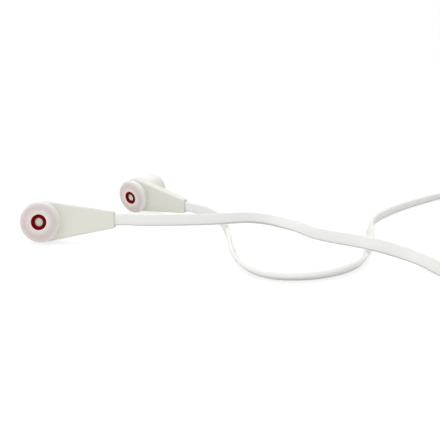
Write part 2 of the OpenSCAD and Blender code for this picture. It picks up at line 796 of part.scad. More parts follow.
// Contact tip with its latching groove
module plug_tip() {
    r = plug_d / 2;
    color(steel_colour)
        shaft_segment([[0, tip_start], [r, tip_start], [r, tip_start + 0.3],
            [waist_r, tip_start + 1], [r - 0.25, tip_start + 1.8], [r - 0.25, tip_start + 2.3],
            [0.5, plug_l - 0.15], [0.25, plug_l], [0, plug_l]]);
}

// The two dark rings that part the contacts, ground flush with them
module plug_insulators() {
    r = plug_d / 2;
    color(black_colour) {
        shaft_segment([[0, sleeve_end], [r, sleeve_end], [r, ring_start], [0, ring_start]]);
        shaft_segment([[0, ring_end], [r, ring_end], [r, tip_start], [0, tip_start]]);
    }
}

on_bud(left_pose) front_shell();  // left_front_shell
on_bud(left_pose) rear_shell();  // left_rear_shell
on_bud(left_pose) driver_cup();  // left_driver_cup
on_bud(left_pose) rear_cap();  // left_rear_cap
on_bud(left_pose) nozzle_mesh();  // left_nozzle_mesh
on_bud(left_pose) ear_tip();  // left_ear_tip
on_bud(left_pose) ear_tip_core();  // left_ear_tip_core
on_bud(left_pose) driver_frame();  // left_driver_frame
on_bud(left_pose) diaphragm();  // left_diaphragm
on_bud(left_pose) voice_coil();  // left_voice_coil
on_bud(left_pose) top_plate();  // left_top_plate
on_bud(left_pose) magnet();  // left_magnet
on_bud(left_pose) yoke();  // left_yoke
on_bud(left_pose) terminal_board();  // left_terminal_board
on_bud(left_pose) driver_wires();  // left_driver_wires
on_bud(left_pose) cord_clamp();  // left_cord_clamp
on_bud(left_pose) cord_collar();  // left_cord_collar
on_bud(right_pose) front_shell();  // right_front_shell
on_bud(right_pose) rear_shell();  // right_rear_shell
on_bud(right_pose) driver_cup();  // right_driver_cup
on_bud(right_pose) rear_cap();  // right_rear_cap
on_bud(right_pose) nozzle_mesh();  // right_nozzle_mesh
on_bud(right_pose) ear_tip();  // right_ear_tip
on_bud(right_pose) ear_tip_core();  // right_ear_tip_core
on_bud(right_pose) driver_frame();  // right_driver_frame
on_bud(right_pose) diaphragm();  // right_diaphragm
on_bud(right_pose) voice_coil();  // right_voice_coil
on_bud(right_pose) top_plate();  // right_top_plate
on_bud(right_pose) magnet();  // right_magnet
on_bud(right_pose) yoke();  // right_yoke
on_bud(right_pose) terminal_board();  // right_terminal_board
on_bud(right_pose) driver_wires();  // right_driver_wires
on_bud(right_pose) cord_clamp();  // right_cord_clamp
on_bud(right_pose) cord_collar();  // right_cord_collar
left_cord();
right_cord();
splitter();
lead_to_coil();
lead_coil();
lead_to_plug();
plug_relief();
plug_handle();
plug_sleeve();
plug_ring();
plug_tip();
plug_insulators();
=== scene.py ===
"""Wired earphones with flat ribbon cords: the finish of every piece, round the fixed frame."""
from math import atan2, cos, degrees, hypot, pi, radians, sin, sqrt

import bmesh
import bpy
from mathutils import Matrix, Vector


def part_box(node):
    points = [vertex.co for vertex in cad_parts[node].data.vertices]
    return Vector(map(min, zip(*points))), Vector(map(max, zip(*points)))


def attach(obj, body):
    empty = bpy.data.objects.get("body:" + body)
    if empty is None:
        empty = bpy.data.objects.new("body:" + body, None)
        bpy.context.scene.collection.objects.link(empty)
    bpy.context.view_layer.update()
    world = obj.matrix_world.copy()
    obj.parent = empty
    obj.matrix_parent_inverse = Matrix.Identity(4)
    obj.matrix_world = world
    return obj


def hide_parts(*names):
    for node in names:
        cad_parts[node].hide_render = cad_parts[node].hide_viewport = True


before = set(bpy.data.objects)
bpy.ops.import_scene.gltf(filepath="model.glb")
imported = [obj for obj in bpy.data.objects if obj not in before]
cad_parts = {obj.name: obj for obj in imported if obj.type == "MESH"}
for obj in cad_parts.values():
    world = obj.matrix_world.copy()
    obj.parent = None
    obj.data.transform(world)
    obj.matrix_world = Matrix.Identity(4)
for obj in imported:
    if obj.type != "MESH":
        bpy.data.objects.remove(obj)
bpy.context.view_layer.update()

MM = 0.001

# ---- Sizes in millimetres, as in the construction ----

# Paddle housing: round head, tangent sides, rounded corners at the end of the tail
HEAD_R = 6.3
TAIL_L = 22.4
TAIL_H = 5.2
BODY_T = 3.2
TAIL_T = 2.4
EDGE_R = 0.5
CORNER_R = 0.9
FACE_T = 0.7
SPLIT = TAIL_T / 2
SEAM = 0.07
SEAT = 0.05
CHAMFER = 0.12
FACE_RINGS = (5.4, 2.3)

# Nozzle and ear tip
NOZZLE_R = 1.8
NOZZLE_BORE_R = 1.3
NOZZLE_L = 2.8
NOZZLE_FILLET = 0.4
NOZZLE_LIP = 0.15
MESH_SEAT_R = 1.5
MESH_R = 1.44
MESH_DEPTH = 0.25
MESH_MIDDLE = 0.1
MESH_SINK = 0.12
TIP_R = 6.25
TIP_FRONT = 3.4
TIP_RIM = 1.8
TIP_GAP = 0.35
TIP_WALL = 0.5
CORE_R = 2.4
CORE_HOLE_R = 1.3
CORE_FRONT = TIP_FRONT + 0.04

# Driver cup and its blank cap
CUP_R = 5.2
CUP_DEPTH = 12.6
CUP_WALL = 0.6
CUP_ROUND = 1.2
CUP_BORE_R = CUP_R - CUP_WALL
FLANGE_R = 5.6
FLANGE_T = 0.6
CAP_R = 3.8
CAP_RECESS = 0.35
CAP_DOME = 0.35
CAP_EDGE = 0.06
VENT_R = 0.5
VENT_Z = 2.6 - CUP_DEPTH
DRIVER_R = CUP_BORE_R - SEAT

# Ribbons, and the wires, clamp and collar in each tail
BRANCH_W = 3.6
MAIN_W = 4.0
RIBBON_T = 1.2
RIBBON_ROUND = 0.4
COLLAR_IN = 2.4
COLLAR_SINK = 0.3
COLLAR_H = 4.3
COLLAR_T = TAIL_T - 0.7
COLLAR_LIP = 0.65
COLLAR_NECK = 0.15
CLAMP_END = TAIL_L - 3.5
CLAMP_START = CLAMP_END - 2.4
CLAMP_W = 3.3
CLAMP_T = 1.5
WIRES_START = 4.7
WIRES_W = 1.6
WIRES_T = 0.6
RIBBON_ROOM = 0.2

# Splitter
SPLITTER_AT = (163, 37)
SPLITTER_TURN = -20
SPLITTER_L = 13
SPLITTER_T = 3
BRANCH_GAP = 1
BRANCH_SHIFT = (BRANCH_W + BRANCH_GAP) / 2
SPLITTER_W = 2 * BRANCH_W + BRANCH_GAP + 1.8

# Coil of the main lead
COIL_AT = (153, -14)
COIL_R = 23.25
COIL_PITCH = 2.0
COIL_TURNS = 2.75
CLIMB_TURNS = 0.5
CLIMB_DIP = 0.9
LAYER_STEP = MAIN_W + 0.5

# Plug
PLUG_X = 178
PLUG_BACK_Y = -42
PLUG_R = 1.75
PLUG_L = 14
HANDLE_R = 3.5
HANDLE_L = 17
RELIEF_L = 8

# How each bud lies: turn about the vertical, rise of the tail, rise of the nozzle
LIE = {"left": (-3, 2, 9), "right": (-32, -6, -9)}

# Routes: x, y, space under the ribbon, and lean from standing (0) to flat (90)
FLAT = 90
LEFT_POINTS = [
    (12, -29.4, 5.6, -10), (19, -28.6, 5.4, -14), (26, -26.8, 5.1, -18), (33, -24.2, 4.7, -23),
    (39.5, -20.2, 4.2, -27), (45, -15.8, 3.5, -30), (50.3, -12.4, 2.4, -31),
    (54.3, -11.7, 1.6, -30), (58, -12.7, 0.9, -28), (61.2, -15.6, 0.6, -25),
    (63.6, -20.2, 0.6, -23), (65.7, -26.6, 0.9, -21), (68, -33.8, 1.8, -20),
    (70.4, -40.8, 2.8, -19), (73, -46.9, 3.7, -19), (76.3, -50.9, 3.95, -19),
    (80.3, -52.6, 3.3, -19), (84.2, -52.9, 2.2, -19), (87.8, -53.8, 1.2, -19),
    (90.8, -56.4, 0.5, -19), (92.7, -60.4, 0.1, -19), (94.4, -65.8, 0, -18), (97, -70.6, 0, -14),
    (101.4, -73.4, 0, -6), (106.4, -72.8, 0, 0), (110.2, -68.8, 0, 0), (112.4, -61, 0, 0),
    (114.8, -48.8, 0, 0), (117.6, -37.4, 0, 0), (120.6, -26.4, 0, 0), (123.6, -15.8, 0, 0),
    (126.6, -5.2, 0, 0), (129.4, 5, 0, 2), (132.2, 14.6, 0, 8), (135, 23.2, 0, 20),
    (138, 30.2, 0, 34), (141.1, 34.8, 0, 48), (144.4, 37.6, 0.2, 62), (148.4, 38.9, 0.6, 78)]
RIGHT_POINTS = [
    (31, 5.2, 1.6, 9), (34.2, 2.2, 1, 8), (36.3, -2.4, 0.5, 5), (37.6, -8.2, 0.1, 2),
    (38.4, -15, 0, 3), (39, -22.4, 0, 6), (39.5, -32, 0, 14), (40, -42.4, 0, 26), (41, -52, 0, 38),
    (43.4, -60.6, 0, 50), (47.2, -66, 0, 57), (52, -68.4, 0, 59), (58, -68.4, 0, 56),
    (64, -66.2, 0, 51), (69.5, -62.2, 0, 43), (74, -56.6, 0, 37), (77.2, -49.4, 0, 34),
    (79.7, -41, 0, 33), (82, -32.5, 0, 32), (84.2, -23, 0, 26), (86.5, -13, 0, 20),
    (90, -3.2, 0, 18), (94.8, 5.4, 0, 20), (100, 13, 0, 22), (105.4, 20, 0, 25),
    (111, 26.6, 0, 28), (117, 33.2, 0, 30), (122.6, 39, 0, 32), (127.2, 43.6, 0, 34),
    (131.8, 47.2, 0, 40), (137.4, 49, 0, 50), (143.4, 48, 0.2, 62), (149, 45.2, 0.6, 76)]
LEAD_IN_POINTS = [
    (176.2, 31.2, 0.8, 80), (178.4, 27.4, 0.6, 68), (179.2, 22, 0.4, 52), (178.8, 15.4, 0.2, 36),
    (178, 8.6, 0, 20), (177, 2.2, 0, 8)]
LEAD_OUT_POINTS = [(176.6, -27.5, 3.4, 0), (177.4, -33, 2.1, 0)]

# ---- Camera, light and floor ----

CAMERA_AT = (36.5, -226, 50)
CAMERA_DOWN = 12.2
CAMERA_FOCAL_PX = 656
IMAGE_PX = 440
SENSOR = 36
NEAREST_SEEN = 5

SKY_LIGHT = 0.46
FLOOR_HALF = 2500
FLOOR_BOUNCE = 0.84
FLOOR_SHADED = 0.36
FLOOR_GLOW = 0.74

# Rays that show the white ground; the others only carry light
SEEN_RAYS = ("Is Camera Ray", "Is Glossy Ray", "Is Transmission Ray")

# The corners of a rectangle, anticlockwise
CORNERS = ((1, 1), (-1, 1), (-1, -1), (1, -1))


def grey(value):
    return (value, value, value, 1)


class Graph:
    """A node tree being wired; plain values and sockets are fed to inputs alike."""

    def __init__(self, tree):
        self.nodes, self.links = tree.nodes, tree.links

    def feed(self, socket, value):
        if isinstance(value, bpy.types.NodeSocket):
            self.links.new(value, socket)
        else:
            socket.default_value = value

    def add(self, kind, inputs=None, **settings):
        """A new node with its settings, and its inputs by name or number."""
        node = self.nodes.new(kind)
        for name, value in settings.items():
            setattr(node, name, value)
        for key, value in (inputs or {}).items():
            self.feed(node.inputs[key], value)
        return node

    def value(self, kind, inputs=None, **settings):
        """The first output of a new node."""
        return self.add(kind, inputs, **settings).outputs[0]

    def maths(self, operation, *values):
        return self.value("ShaderNodeMath", dict(enumerate(values)), operation=operation)

    def vector(self, x=0.0, y=0.0, z=0.0):
        return self.value("ShaderNodeCombineXYZ", {"X": x, "Y": y, "Z": z})

    def spread(self, value, low, high, start=0.0, end=1.0):
        """The value's place from low to high, turned into start to end."""
        return self.value("ShaderNodeMapRange", {
            "Value": value, "From Min": low, "From Max": high, "To Min": start, "To Max": end})

    def blend(self, kind, share, first, second):
        """One colour over another."""
        node = self.add("ShaderNodeMix", {"Factor": share, 6: first, 7: second},
                        data_type="RGBA", blend_type=kind)
        return node.outputs[2]

    def noise(self, place, size, detail):
        node = self.add("ShaderNodeTexNoise", {"Vector": place, "Scale": size, "Detail": detail})
        return node.outputs["Fac"]

    def bump(self, height, strength, **below):
        """Fine relief, over another normal if one is given."""
        return self.value("ShaderNodeBump", {"Distance": RELIEF * MM, "Strength": strength,
                                             "Height": height, **below})

    def ray_share(self, kinds):
        """1 for rays of the named kinds, else 0."""
        path = self.add("ShaderNodeLightPath").outputs
        found = path[kinds[0]]
        for kind in kinds[1:]:
            found = self.maths("MAXIMUM", found, path[kind])
        return found

    def mix_shaders(self, share, first, second):
        return self.value("ShaderNodeMixShader", {"Fac": share, 1: first, 2: second})


def linked(name, data):
    """A new object in the scene."""
    made = bpy.data.objects.new(name, data)
    bpy.context.scene.collection.objects.link(made)
    return made


def place_camera():
    data = bpy.data.cameras.new("camera")
    data.sensor_width = SENSOR
    data.lens = CAMERA_FOCAL_PX * SENSOR / IMAGE_PX
    data.clip_start = NEAREST_SEEN * MM
    camera = linked("camera", data)
    camera.location = Vector(CAMERA_AT) * MM
    camera.rotation_euler = (radians(90 - CAMERA_DOWN), 0, 0)
    bpy.context.scene.camera = camera


def wide_lamp(name, height, turn, spread, strength):
    """A far, soft lamp: its height and turn in degrees (0 stands behind, 180 by the camera)."""
    data = bpy.data.lights.new(name, "SUN")
    data.angle = radians(spread)
    data.energy = strength
    up, way = radians(height), radians(turn)
    from_lamp = Vector((-cos(up) * sin(way), -cos(up) * cos(way), -sin(up)))
    linked(name, data).rotation_euler = from_lamp.to_track_quat("-Z", "Y").to_euler()


def light_studio():
    """Even light from all round, a low wide lamp by the camera and a wide one overhead."""
    world = bpy.data.worlds.new("studio")
    bpy.context.scene.world = world
    world.use_nodes = True
    graph = Graph(world.node_tree)
    graph.nodes.clear()
    around = graph.value("ShaderNodeBackground", {"Color": grey(1), "Strength": SKY_LIGHT})
    seen = graph.value("ShaderNodeBackground", {"Color": grey(1)})
    mix = graph.mix_shaders(graph.ray_share(SEEN_RAYS), around, seen)
    graph.add("ShaderNodeOutputWorld", {"Surface": mix})
    wide_lamp("key", height=12, turn=202, spread=80, strength=0.88)
    wide_lamp("top", height=80, turn=-15, spread=70, strength=1.48)


def lay_floor():
    """Ground that clips to white in full light and keeps only the closest shadows."""
    mesh = bpy.data.meshes.new("floor")
    mesh.from_pydata([Vector((x, y, 0)) * FLOOR_HALF * MM for x, y in CORNERS], [],
                     [(0, 1, 2, 3)])
    paper = bpy.data.materials.new("paper")
    paper.use_nodes = True
    graph = Graph(paper.node_tree)
    graph.nodes.clear()
    bounce = graph.value("ShaderNodeBsdfDiffuse", {"Color": grey(FLOOR_BOUNCE)})
    shaded = graph.value("ShaderNodeBsdfDiffuse", {"Color": grey(FLOOR_SHADED)})
    glow = graph.value("ShaderNodeEmission", {"Strength": FLOOR_GLOW})
    seen = graph.value("ShaderNodeAddShader", {0: shaded, 1: glow})
    mix = graph.mix_shaders(graph.ray_share(SEEN_RAYS), bounce, seen)
    graph.add("ShaderNodeOutputMaterial", {"Surface": mix})
    mesh.materials.append(paper)
    linked("floor", mesh)


bpy.context.scene.view_settings.view_transform = "Standard"
place_camera()
light_studio()
lay_floor()

# ---- Materials ----

RELIEF = 0.02


def tone(colour):
    """A colour given in screen values from 0 to 255, as the shader wants it."""
    shares = [value / 255 for value in colour]
    return (*[share / 12.92 if share <= 0.04045 else ((share + 0.055) / 1.055) ** 2.4
              for share in shares], 1)


def group_graph(name, family, inputs, outputs):
    """A node group with its graph, given values and outlets; an input's value tells its kind."""
    tree = bpy.data.node_groups.new(name, family)
    kinds = {float: "Float", int: "Int", tuple: "Color"}
    for direction, sockets in (("INPUT", inputs), ("OUTPUT", outputs)):
        for label, start in sockets.items():
            kind = kinds.get(type(start), start)
            socket = tree.interface.new_socket(name=label, in_out=direction,
                                               socket_type=f"NodeSocket{kind}")
            if kind != start:
                socket.default_value = start
    graph = Graph(tree)
    return tree, graph, graph.add("NodeGroupInput").outputs, graph.add("NodeGroupOutput").inputs


def moulded_group():
    """Tint, roughness and relief of a surface that is cloudy, pitted and dusty, with its edges
    lightened, partly as wear and partly as a painted highlight.
    """
    tree, graph, given, out = group_graph("moulded_surface", "ShaderNodeTree", {
        "colour": grey(0.8), "rough": 0.4, "cloud": 0.04, "cloud_size": 180.0, "pits": 4000.0,
        "depth": 0.1, "edge": 0.1, "dust": 0.05},
        {"Base Color": "Color", "Roughness": "Float", "Normal": "Vector"})
    clouded_tint, wear_and_highlight_tint = (0.86, 0.85, 0.82, 1), (0.93, 0.93, 0.92, 1)
    dust_tint, speck_size, speck_from, speck_full = (0.7, 0.68, 0.64, 1), 2600.0, 0.66, 0.74
    bend_from, bend_full, cloud_rough, dust_rough = 0.51, 0.6, 0.12, 0.8
    maths = graph.maths
    place = graph.add("ShaderNodeTexCoord").outputs["Object"]
    cloud = graph.noise(place, given["cloud_size"], 3.0)
    shade = maths("MULTIPLY", maths("MULTIPLY", cloud, given["cloud"]), 2.0)
    clouded = graph.blend("MULTIPLY", shade, given["colour"], clouded_tint)
    # Convex edges are lightened: partly wear, partly a painted highlight along them
    bend = graph.add("ShaderNodeNewGeometry").outputs["Pointiness"]
    edge = maths("MULTIPLY", graph.spread(bend, bend_from, bend_full), given["edge"])
    worn_and_highlit = graph.blend("MIX", edge, clouded, wear_and_highlight_tint)
    # Random dust specks; dust here scales only these specks
    speck = graph.spread(graph.noise(place, speck_size, 1.0), speck_from, speck_full)
    dusty = maths("MULTIPLY", speck, given["dust"])
    graph.feed(out["Base Color"], graph.blend("MIX", dusty, worn_and_highlit, dust_tint))
    rough = maths("MULTIPLY_ADD", cloud, cloud_rough, given["rough"])
    graph.feed(out["Roughness"], maths("ADD", rough, maths("MULTIPLY", dusty, dust_rough)))
    graph.feed(out["Normal"], graph.bump(graph.noise(place, given["pits"], 2.0), given["depth"]))
    return tree


MOULDED = moulded_group()


def finish_of(name, colour, **settings):
    """A moulded surface in a screen colour; settings are the group's, or else the shader's."""
    material = bpy.data.materials.new(name)
    material.use_nodes = True
    graph = Graph(material.node_tree)
    shader = graph.nodes["Principled BSDF"]
    group = graph.add("ShaderNodeGroup", {"colour": tone(colour)}, node_tree=MOULDED)
    for socket in group.outputs:
        graph.feed(shader.inputs[socket.name], socket)
    for key, value in settings.items():
        own = group.inputs.get(key) or shader.inputs[key.replace("_", " ")]
        own.default_value = value
    return material


def silicone():
    """Milky silicone with a darker pink band painted round the dome: painted shade of the hollow
    under the dome, tinted pink as by light from the red core.
    """
    # Colours by distance from the axis in mm; the darker pink band from 3.9 to 5.0 is painted shade
    # of the hollow under the dome
    shade_bands = ((CORE_R, (250, 234, 227)), (2.9, (236, 230, 223)), (3.4, (229, 223, 218)),
             (3.9, (224, 213, 211)), (4.6, (218, 205, 204)), (5.0, (222, 212, 210)),
             (5.6, (229, 224, 220)), (TIP_R, (240, 238, 232)))
    light_passed = 0.9
    material = finish_of("milky_silicone", shade_bands[2][1], rough=0.32, cloud=0.03, depth=0.05,
                         edge=0.0, dust=0.04, Subsurface_Weight=0.35, Subsurface_Scale=0.0012,
                         Subsurface_Radius=(1.0, 0.55, 0.5), Coat_Weight=0.25,
                         Coat_Roughness=0.25)
    graph = Graph(material.node_tree)
    across = graph.add("ShaderNodeAttribute", attribute_name="across").outputs["Fac"]
    ramp = graph.add("ShaderNodeValToRGB", {"Fac": across})
    stops = ramp.color_ramp.elements
    for _ in shade_bands[2:]:
        stops.new(0.5)
    for stop, (radius, colour) in zip(stops, shade_bands):
        stop.position, stop.color = radius / TIP_R, tone(colour)
    graph.feed(graph.nodes["Group"].inputs["colour"], ramp.outputs["Color"])
    # Light passes the thin wall, so the tip hardly shades the housing behind it
    passing = graph.maths("MULTIPLY", graph.ray_share(("Is Shadow Ray", "Is Diffuse Ray")),
                          light_passed)
    thin = graph.mix_shaders(passing, graph.nodes["Principled BSDF"].outputs[0],
                             graph.value("ShaderNodeBsdfTransparent"))
    graph.feed(graph.nodes["Material Output"].inputs["Surface"], thin)
    return material


def ribbon_rubber():
    """Extruded white elastomer with fine drawing lines, and painted shade along the edge that lies
    down.
    """
    # Where round the section the lower edge lies, how far its painted shade reaches, and how dark
    # it is
    lower, full, unshaded, dust = 0.475, 0.17, 0.236, (0.7, 0.695, 0.68, 1)
    lines_across, lines_along = 60.0, 0.15
    material = finish_of("ribbon_rubber", (249, 249, 246), rough=0.45, cloud=0.03,
                         cloud_size=90.0, pits=5200.0, depth=0.06, edge=0.0, Sheen_Weight=0.05,
                         Specular_IOR_Level=0.2)
    graph = Graph(material.node_tree)
    group, shader = graph.nodes["Group"].outputs, graph.nodes["Principled BSDF"].inputs
    unrolled = graph.value("ShaderNodeUVMap", uv_map="ribbon")
    stretched = graph.value("ShaderNodeMapping", {"Vector": unrolled,
                                                  "Scale": (lines_across, lines_along, 1.0)})
    drawn = graph.bump(graph.noise(stretched, 1.0, 2.0), 0.15, Normal=group["Normal"])
    graph.feed(shader["Normal"], drawn)
    # Painted shade: the colour darkens towards the lower edge, round the section
    around = graph.add("ShaderNodeSeparateXYZ", {0: unrolled}).outputs["X"]
    away = graph.maths("ABSOLUTE", graph.maths("SUBTRACT", around, lower))
    edge_shade = graph.spread(away, full, unshaded, 1, 0)
    edge_shaded = graph.blend("MULTIPLY", edge_shade, group["Base Color"], dust)
    graph.feed(shader["Base Color"], edge_shaded)
    return material


# The shell's edges are lightened most: partly wear, partly painted highlight
SHELL = finish_of("shell_plastic", (234, 234, 223), rough=0.38, cloud=0.05, edge=0.6,
                  depth=0.12, Coat_Weight=0.08, Coat_Roughness=0.3)
CUP = finish_of("cup_plastic", (246, 246, 240), rough=0.36, cloud=0.03, edge=0.25)
CAP = finish_of("cap_plastic", (226, 226, 219), rough=0.3, edge=0.3, depth=0.04)
SILICONE = silicone()
CORE = finish_of("red_core_rubber", (112, 0, 5), rough=0.55, cloud=0.1, edge=0.0, dust=0.0,
                 Specular_IOR_Level=0.04)
RIBBON = ribbon_rubber()
COLLAR = finish_of("collar_rubber", (236, 231, 229), rough=0.5, depth=0.2)
MESH_WIRE = finish_of("mesh_wire", (251, 250, 241), rough=0.45, cloud=0.03, depth=0.0)
FLEECE = finish_of("damping_fleece", (252, 251, 243), rough=0.9, cloud=0.06, pits=9000.0,
                   depth=0.3, edge=0.0, Specular_IOR_Level=0.1)
SPLITTER = finish_of("splitter_plastic", (229, 229, 221), rough=0.38, cloud=0.05, edge=0.3)
HANDLE = finish_of("handle_plastic", (232, 232, 226), rough=0.36, cloud=0.05, edge=0.3)
CONTACT = finish_of("contact_plating", (206, 203, 194), rough=0.16, cloud=0.05, depth=0.03,
                    pits=2500.0, dust=0.0, Metallic=1.0)
BLACK = finish_of("black_plastic", (34, 34, 36), rough=0.45, cloud=0.15, edge=0.05)
FILM = finish_of("membrane_film", (196, 186, 150), rough=0.3, cloud=0.1, Coat_Weight=0.3)
COPPER = finish_of("enamelled_copper", (190, 110, 60), rough=0.3, cloud=0.1, Metallic=0.8)
STEEL = finish_of("plated_steel", (178, 178, 182), rough=0.28, cloud=0.08, Metallic=1.0)
MAGNET = finish_of("magnet_plating", (120, 120, 124), rough=0.25, cloud=0.1, Metallic=1.0)
BOARD = finish_of("circuit_board", (38, 88, 50), cloud=0.2, Coat_Weight=0.3)

# ---- Mesh tools: everything below is in millimetres until it becomes a piece ----


def arc(middle_r, middle_z, radius, start, end, steps):
    """Points (r, z) on an arc, with its angles in degrees."""
    angles = [radians(start + (end - start) * k / steps) for k in range(steps + 1)]
    return [(middle_r + radius * cos(angle), middle_z + radius * sin(angle)) for angle in angles]


def quarter(steps):
    """Angles in equal steps over a quarter of a turn."""
    return [pi / 2 * k / steps for k in range(steps + 1)]


def ring_groove(radius, start, depth, flank, floor):
    """Outline points of a shallow groove round a turned piece, going along Z."""
    end = start + 2 * flank + floor
    return [(radius, start), (radius - depth, start + flank), (radius - depth, end - flank),
            (radius, end)]


def circle(radius, z, sides):
    """Points (x, y, z) evenly spaced round Z."""
    return [(radius * cos(2 * pi * k / sides), radius * sin(2 * pi * k / sides), z)
            for k in range(sides)]


def skin(rings):
    """Faces from each ring of point numbers to the next; a ring may be a single point."""
    faces = []
    for one, two in zip(rings, rings[1:]):
        steps = max(len(one), len(two))
        for k in range(steps if steps > 1 else 0):
            corners = (one[k % len(one)], one[(k + 1) % len(one)],
                       two[(k + 1) % len(two)], two[k % len(two)])
            faces.append(tuple(dict.fromkeys(corners)))
    return faces


def revolve(profile, sides=96):
    """Turn a closed outline of (r, z) round Z; where r is 0 the surface closes in one point."""
    verts, rings = [], []
    for r, z in profile:
        count = 1 if r < 1e-6 else sides
        rings.append(range(len(verts), len(verts) + count))
        verts += [Vector(point) for point in circle(r, z, count)]
    return verts, skin(rings + rings[:1])


def loft(loops, wrap=False):
    """Skin loops of equally many points; capped at both ends, or closed on itself with wrap."""
    count = len(loops[0])
    rings = [range(i * count, (i + 1) * count) for i in range(len(loops))]
    faces = (skin(rings + rings[:1]) if wrap
             else skin(rings) + [tuple(reversed(rings[0])), tuple(rings[-1])])
    return [Vector(point) for loop in loops for point in loop], faces


def joined(*meshes):
    verts, faces = [], []
    for more, sides in meshes:
        faces += [tuple(len(verts) + k for k in face) for face in sides]
        verts += more
    return verts, faces


def closed_object(name, shape, matrix):
    """An object in metres at the origin, with its faces outwards, going by its volume's sign."""
    verts, faces = shape
    mesh = bpy.data.meshes.new(name)
    mesh.from_pydata([matrix @ v * MM for v in verts], [], faces)
    solid = bmesh.new()
    solid.from_mesh(mesh)
    if solid.calc_volume(signed=True) < 0:
        bmesh.ops.reverse_faces(solid, faces=solid.faces)
    solid.to_mesh(mesh)
    solid.free()
    return linked(name, mesh)


def evaluated(made):
    """A new mesh of an object with its modifiers worked out."""
    view = made.evaluated_get(bpy.context.evaluated_depsgraph_get())
    return bpy.data.meshes.new_from_object(view)


def cut_away(made, tool):
    """Take the tool's closed shape out of a piece, and remove the tool."""
    cut = made.modifiers.new("cut", "BOOLEAN")
    cut.operation, cut.solver, cut.object = "DIFFERENCE", "EXACT", tool
    spent = (made.data, tool.data)
    result = evaluated(made)
    made.modifiers.remove(cut)
    made.data = result
    result.name = made.name
    bpy.data.objects.remove(tool)
    for mesh in spent:
        bpy.data.meshes.remove(mesh)


def piece(name, shape, matrix, material, slot, nodes, body="root", sharp=32, cutters=()):
    """A finished piece, riding on its body in place of its nodes."""
    made = closed_object(name, shape, matrix)
    for cutter in cutters:
        cut_away(made, closed_object("cutter", cutter, matrix))
    made.data.shade_smooth()
    made.data.set_sharp_from_angle(angle=radians(sharp))
    made.data.materials.append(material)
    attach(made, body)
    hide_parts(*nodes)
    return made


def rounded_rectangle(width, height, radius, steps=5):
    """Points (u, v) of a rectangle with rounded corners, anticlockwise."""
    points = []
    for number, (su, sv) in enumerate(CORNERS):
        points += arc(su * (width / 2 - radius), sv * (height / 2 - radius), radius,
                      90 * number, 90 * number + 90, steps)
    return points


def block_section(x, width, height, radius, steps=5, z=0.0):
    """A rounded rectangle that stands across X."""
    return [(x, u, v + z) for u, v in rounded_rectangle(width, height, radius, steps)]


def bud_matrix(side):
    """From the bud's own frame, tail along X and nozzle along Z, to the world."""
    turn, rise, nose = LIE[side]
    turned = (Matrix.Rotation(radians(turn), 4, "Z") @ Matrix.Rotation(radians(-rise), 4, "Y")
              @ Matrix.Rotation(radians(90 - nose), 4, "X"))
    low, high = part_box(f"{side}_nozzle_mesh")
    middle = (Vector(low) + Vector(high)) / 2 / MM
    return Matrix.Translation(middle - turned @ Vector((0, 0, NOZZLE_L - MESH_MIDDLE))) @ turned


# ---- Paddle housing ----

LOOP_POINTS = 108
TAPER = (atan2(HEAD_R, sqrt(TAIL_L ** 2 + (TAIL_H / 2) ** 2 - HEAD_R ** 2))
         - atan2(TAIL_H / 2, TAIL_L))
HEAD_STEPS = round(LOOP_POINTS * (pi + 2 * TAPER) / (2 * pi) / 2) * 2
CORNER_STEPS = 7
END_STEPS = 8
SIDE_STEPS = (LOOP_POINTS - HEAD_STEPS - 2 * CORNER_STEPS - END_STEPS) // 2
EDGE_STEPS = 6
FLANK = 90 - degrees(TAPER)
CORNER_X = TAIL_L - CORNER_R
CORNER_Y = (HEAD_R - CORNER_R - CORNER_X * sin(TAPER)) / cos(TAPER)


def paddle_outline(inset):
    """The teardrop seen from the front, drawn in by inset, from the middle of the tail's end."""
    head = HEAD_R - inset
    corner = max(CORNER_R - inset, 0.02)
    half = [(CORNER_X + corner, CORNER_Y * k / (END_STEPS // 2)) for k in range(END_STEPS // 2)]
    half += arc(CORNER_X, CORNER_Y, corner, 0, FLANK, CORNER_STEPS)
    (x0, y0), (x1, y1) = half[-1], (head * sin(TAPER), head * cos(TAPER))
    half += [(x0 + (x1 - x0) * k / SIDE_STEPS, y0 + (y1 - y0) * k / SIDE_STEPS)
             for k in range(1, SIDE_STEPS)]
    half += arc(0, 0, head, FLANK, 180, HEAD_STEPS // 2)
    return half + [(x, -y) for x, y in half[-2:0:-1]]


def paddle_loop(inset, height):
    return [(x, y, height) for x, y in paddle_outline(inset)]


def paddle_skin(loops, rings):
    """Skin the outline's loops and the circles (r, z) that follow them, closed."""
    return loft(loops + [circle(r, z, LOOP_POINTS) for r, z in rings], wrap=True)


def back_face(x):
    """Height of the back face, which slopes from the head to the thinner tail."""
    share = min(max((x - CUP_R) / (TAIL_L - EDGE_R - CUP_R), 0), 1)
    return -(BODY_T + (TAIL_T - BODY_T) * share)


def front_shell():
    """Face, nozzle with its bore and mesh seat, and the hollow for the driver."""
    mesh_seat, bore_r = NOZZLE_L - MESH_DEPTH, DRIVER_R + SEAT
    loops = [paddle_loop(SEAM, -SPLIT), paddle_loop(0.0, -SPLIT + SEAM)]
    loops += [paddle_loop(EDGE_R * (1 - cos(angle)), EDGE_R * (sin(angle) - 1))
              for angle in quarter(EDGE_STEPS)]
    loops += [paddle_loop(EDGE_R + CHAMFER, 0)]
    rings = [(ring, 0) for ring in FACE_RINGS]
    rings += arc(NOZZLE_R + NOZZLE_FILLET, NOZZLE_FILLET, NOZZLE_FILLET, 270, 180, 4)
    rings += arc(NOZZLE_R - NOZZLE_LIP, NOZZLE_L - NOZZLE_LIP, NOZZLE_LIP, 0, 90, 3)
    rings += [(MESH_SEAT_R, NOZZLE_L), (MESH_SEAT_R, mesh_seat), (NOZZLE_BORE_R, mesh_seat),
              (NOZZLE_BORE_R, -FACE_T), (bore_r, -FACE_T), (bore_r, -SPLIT), (CUP_R, -SPLIT)]
    return paddle_skin(loops, rings)


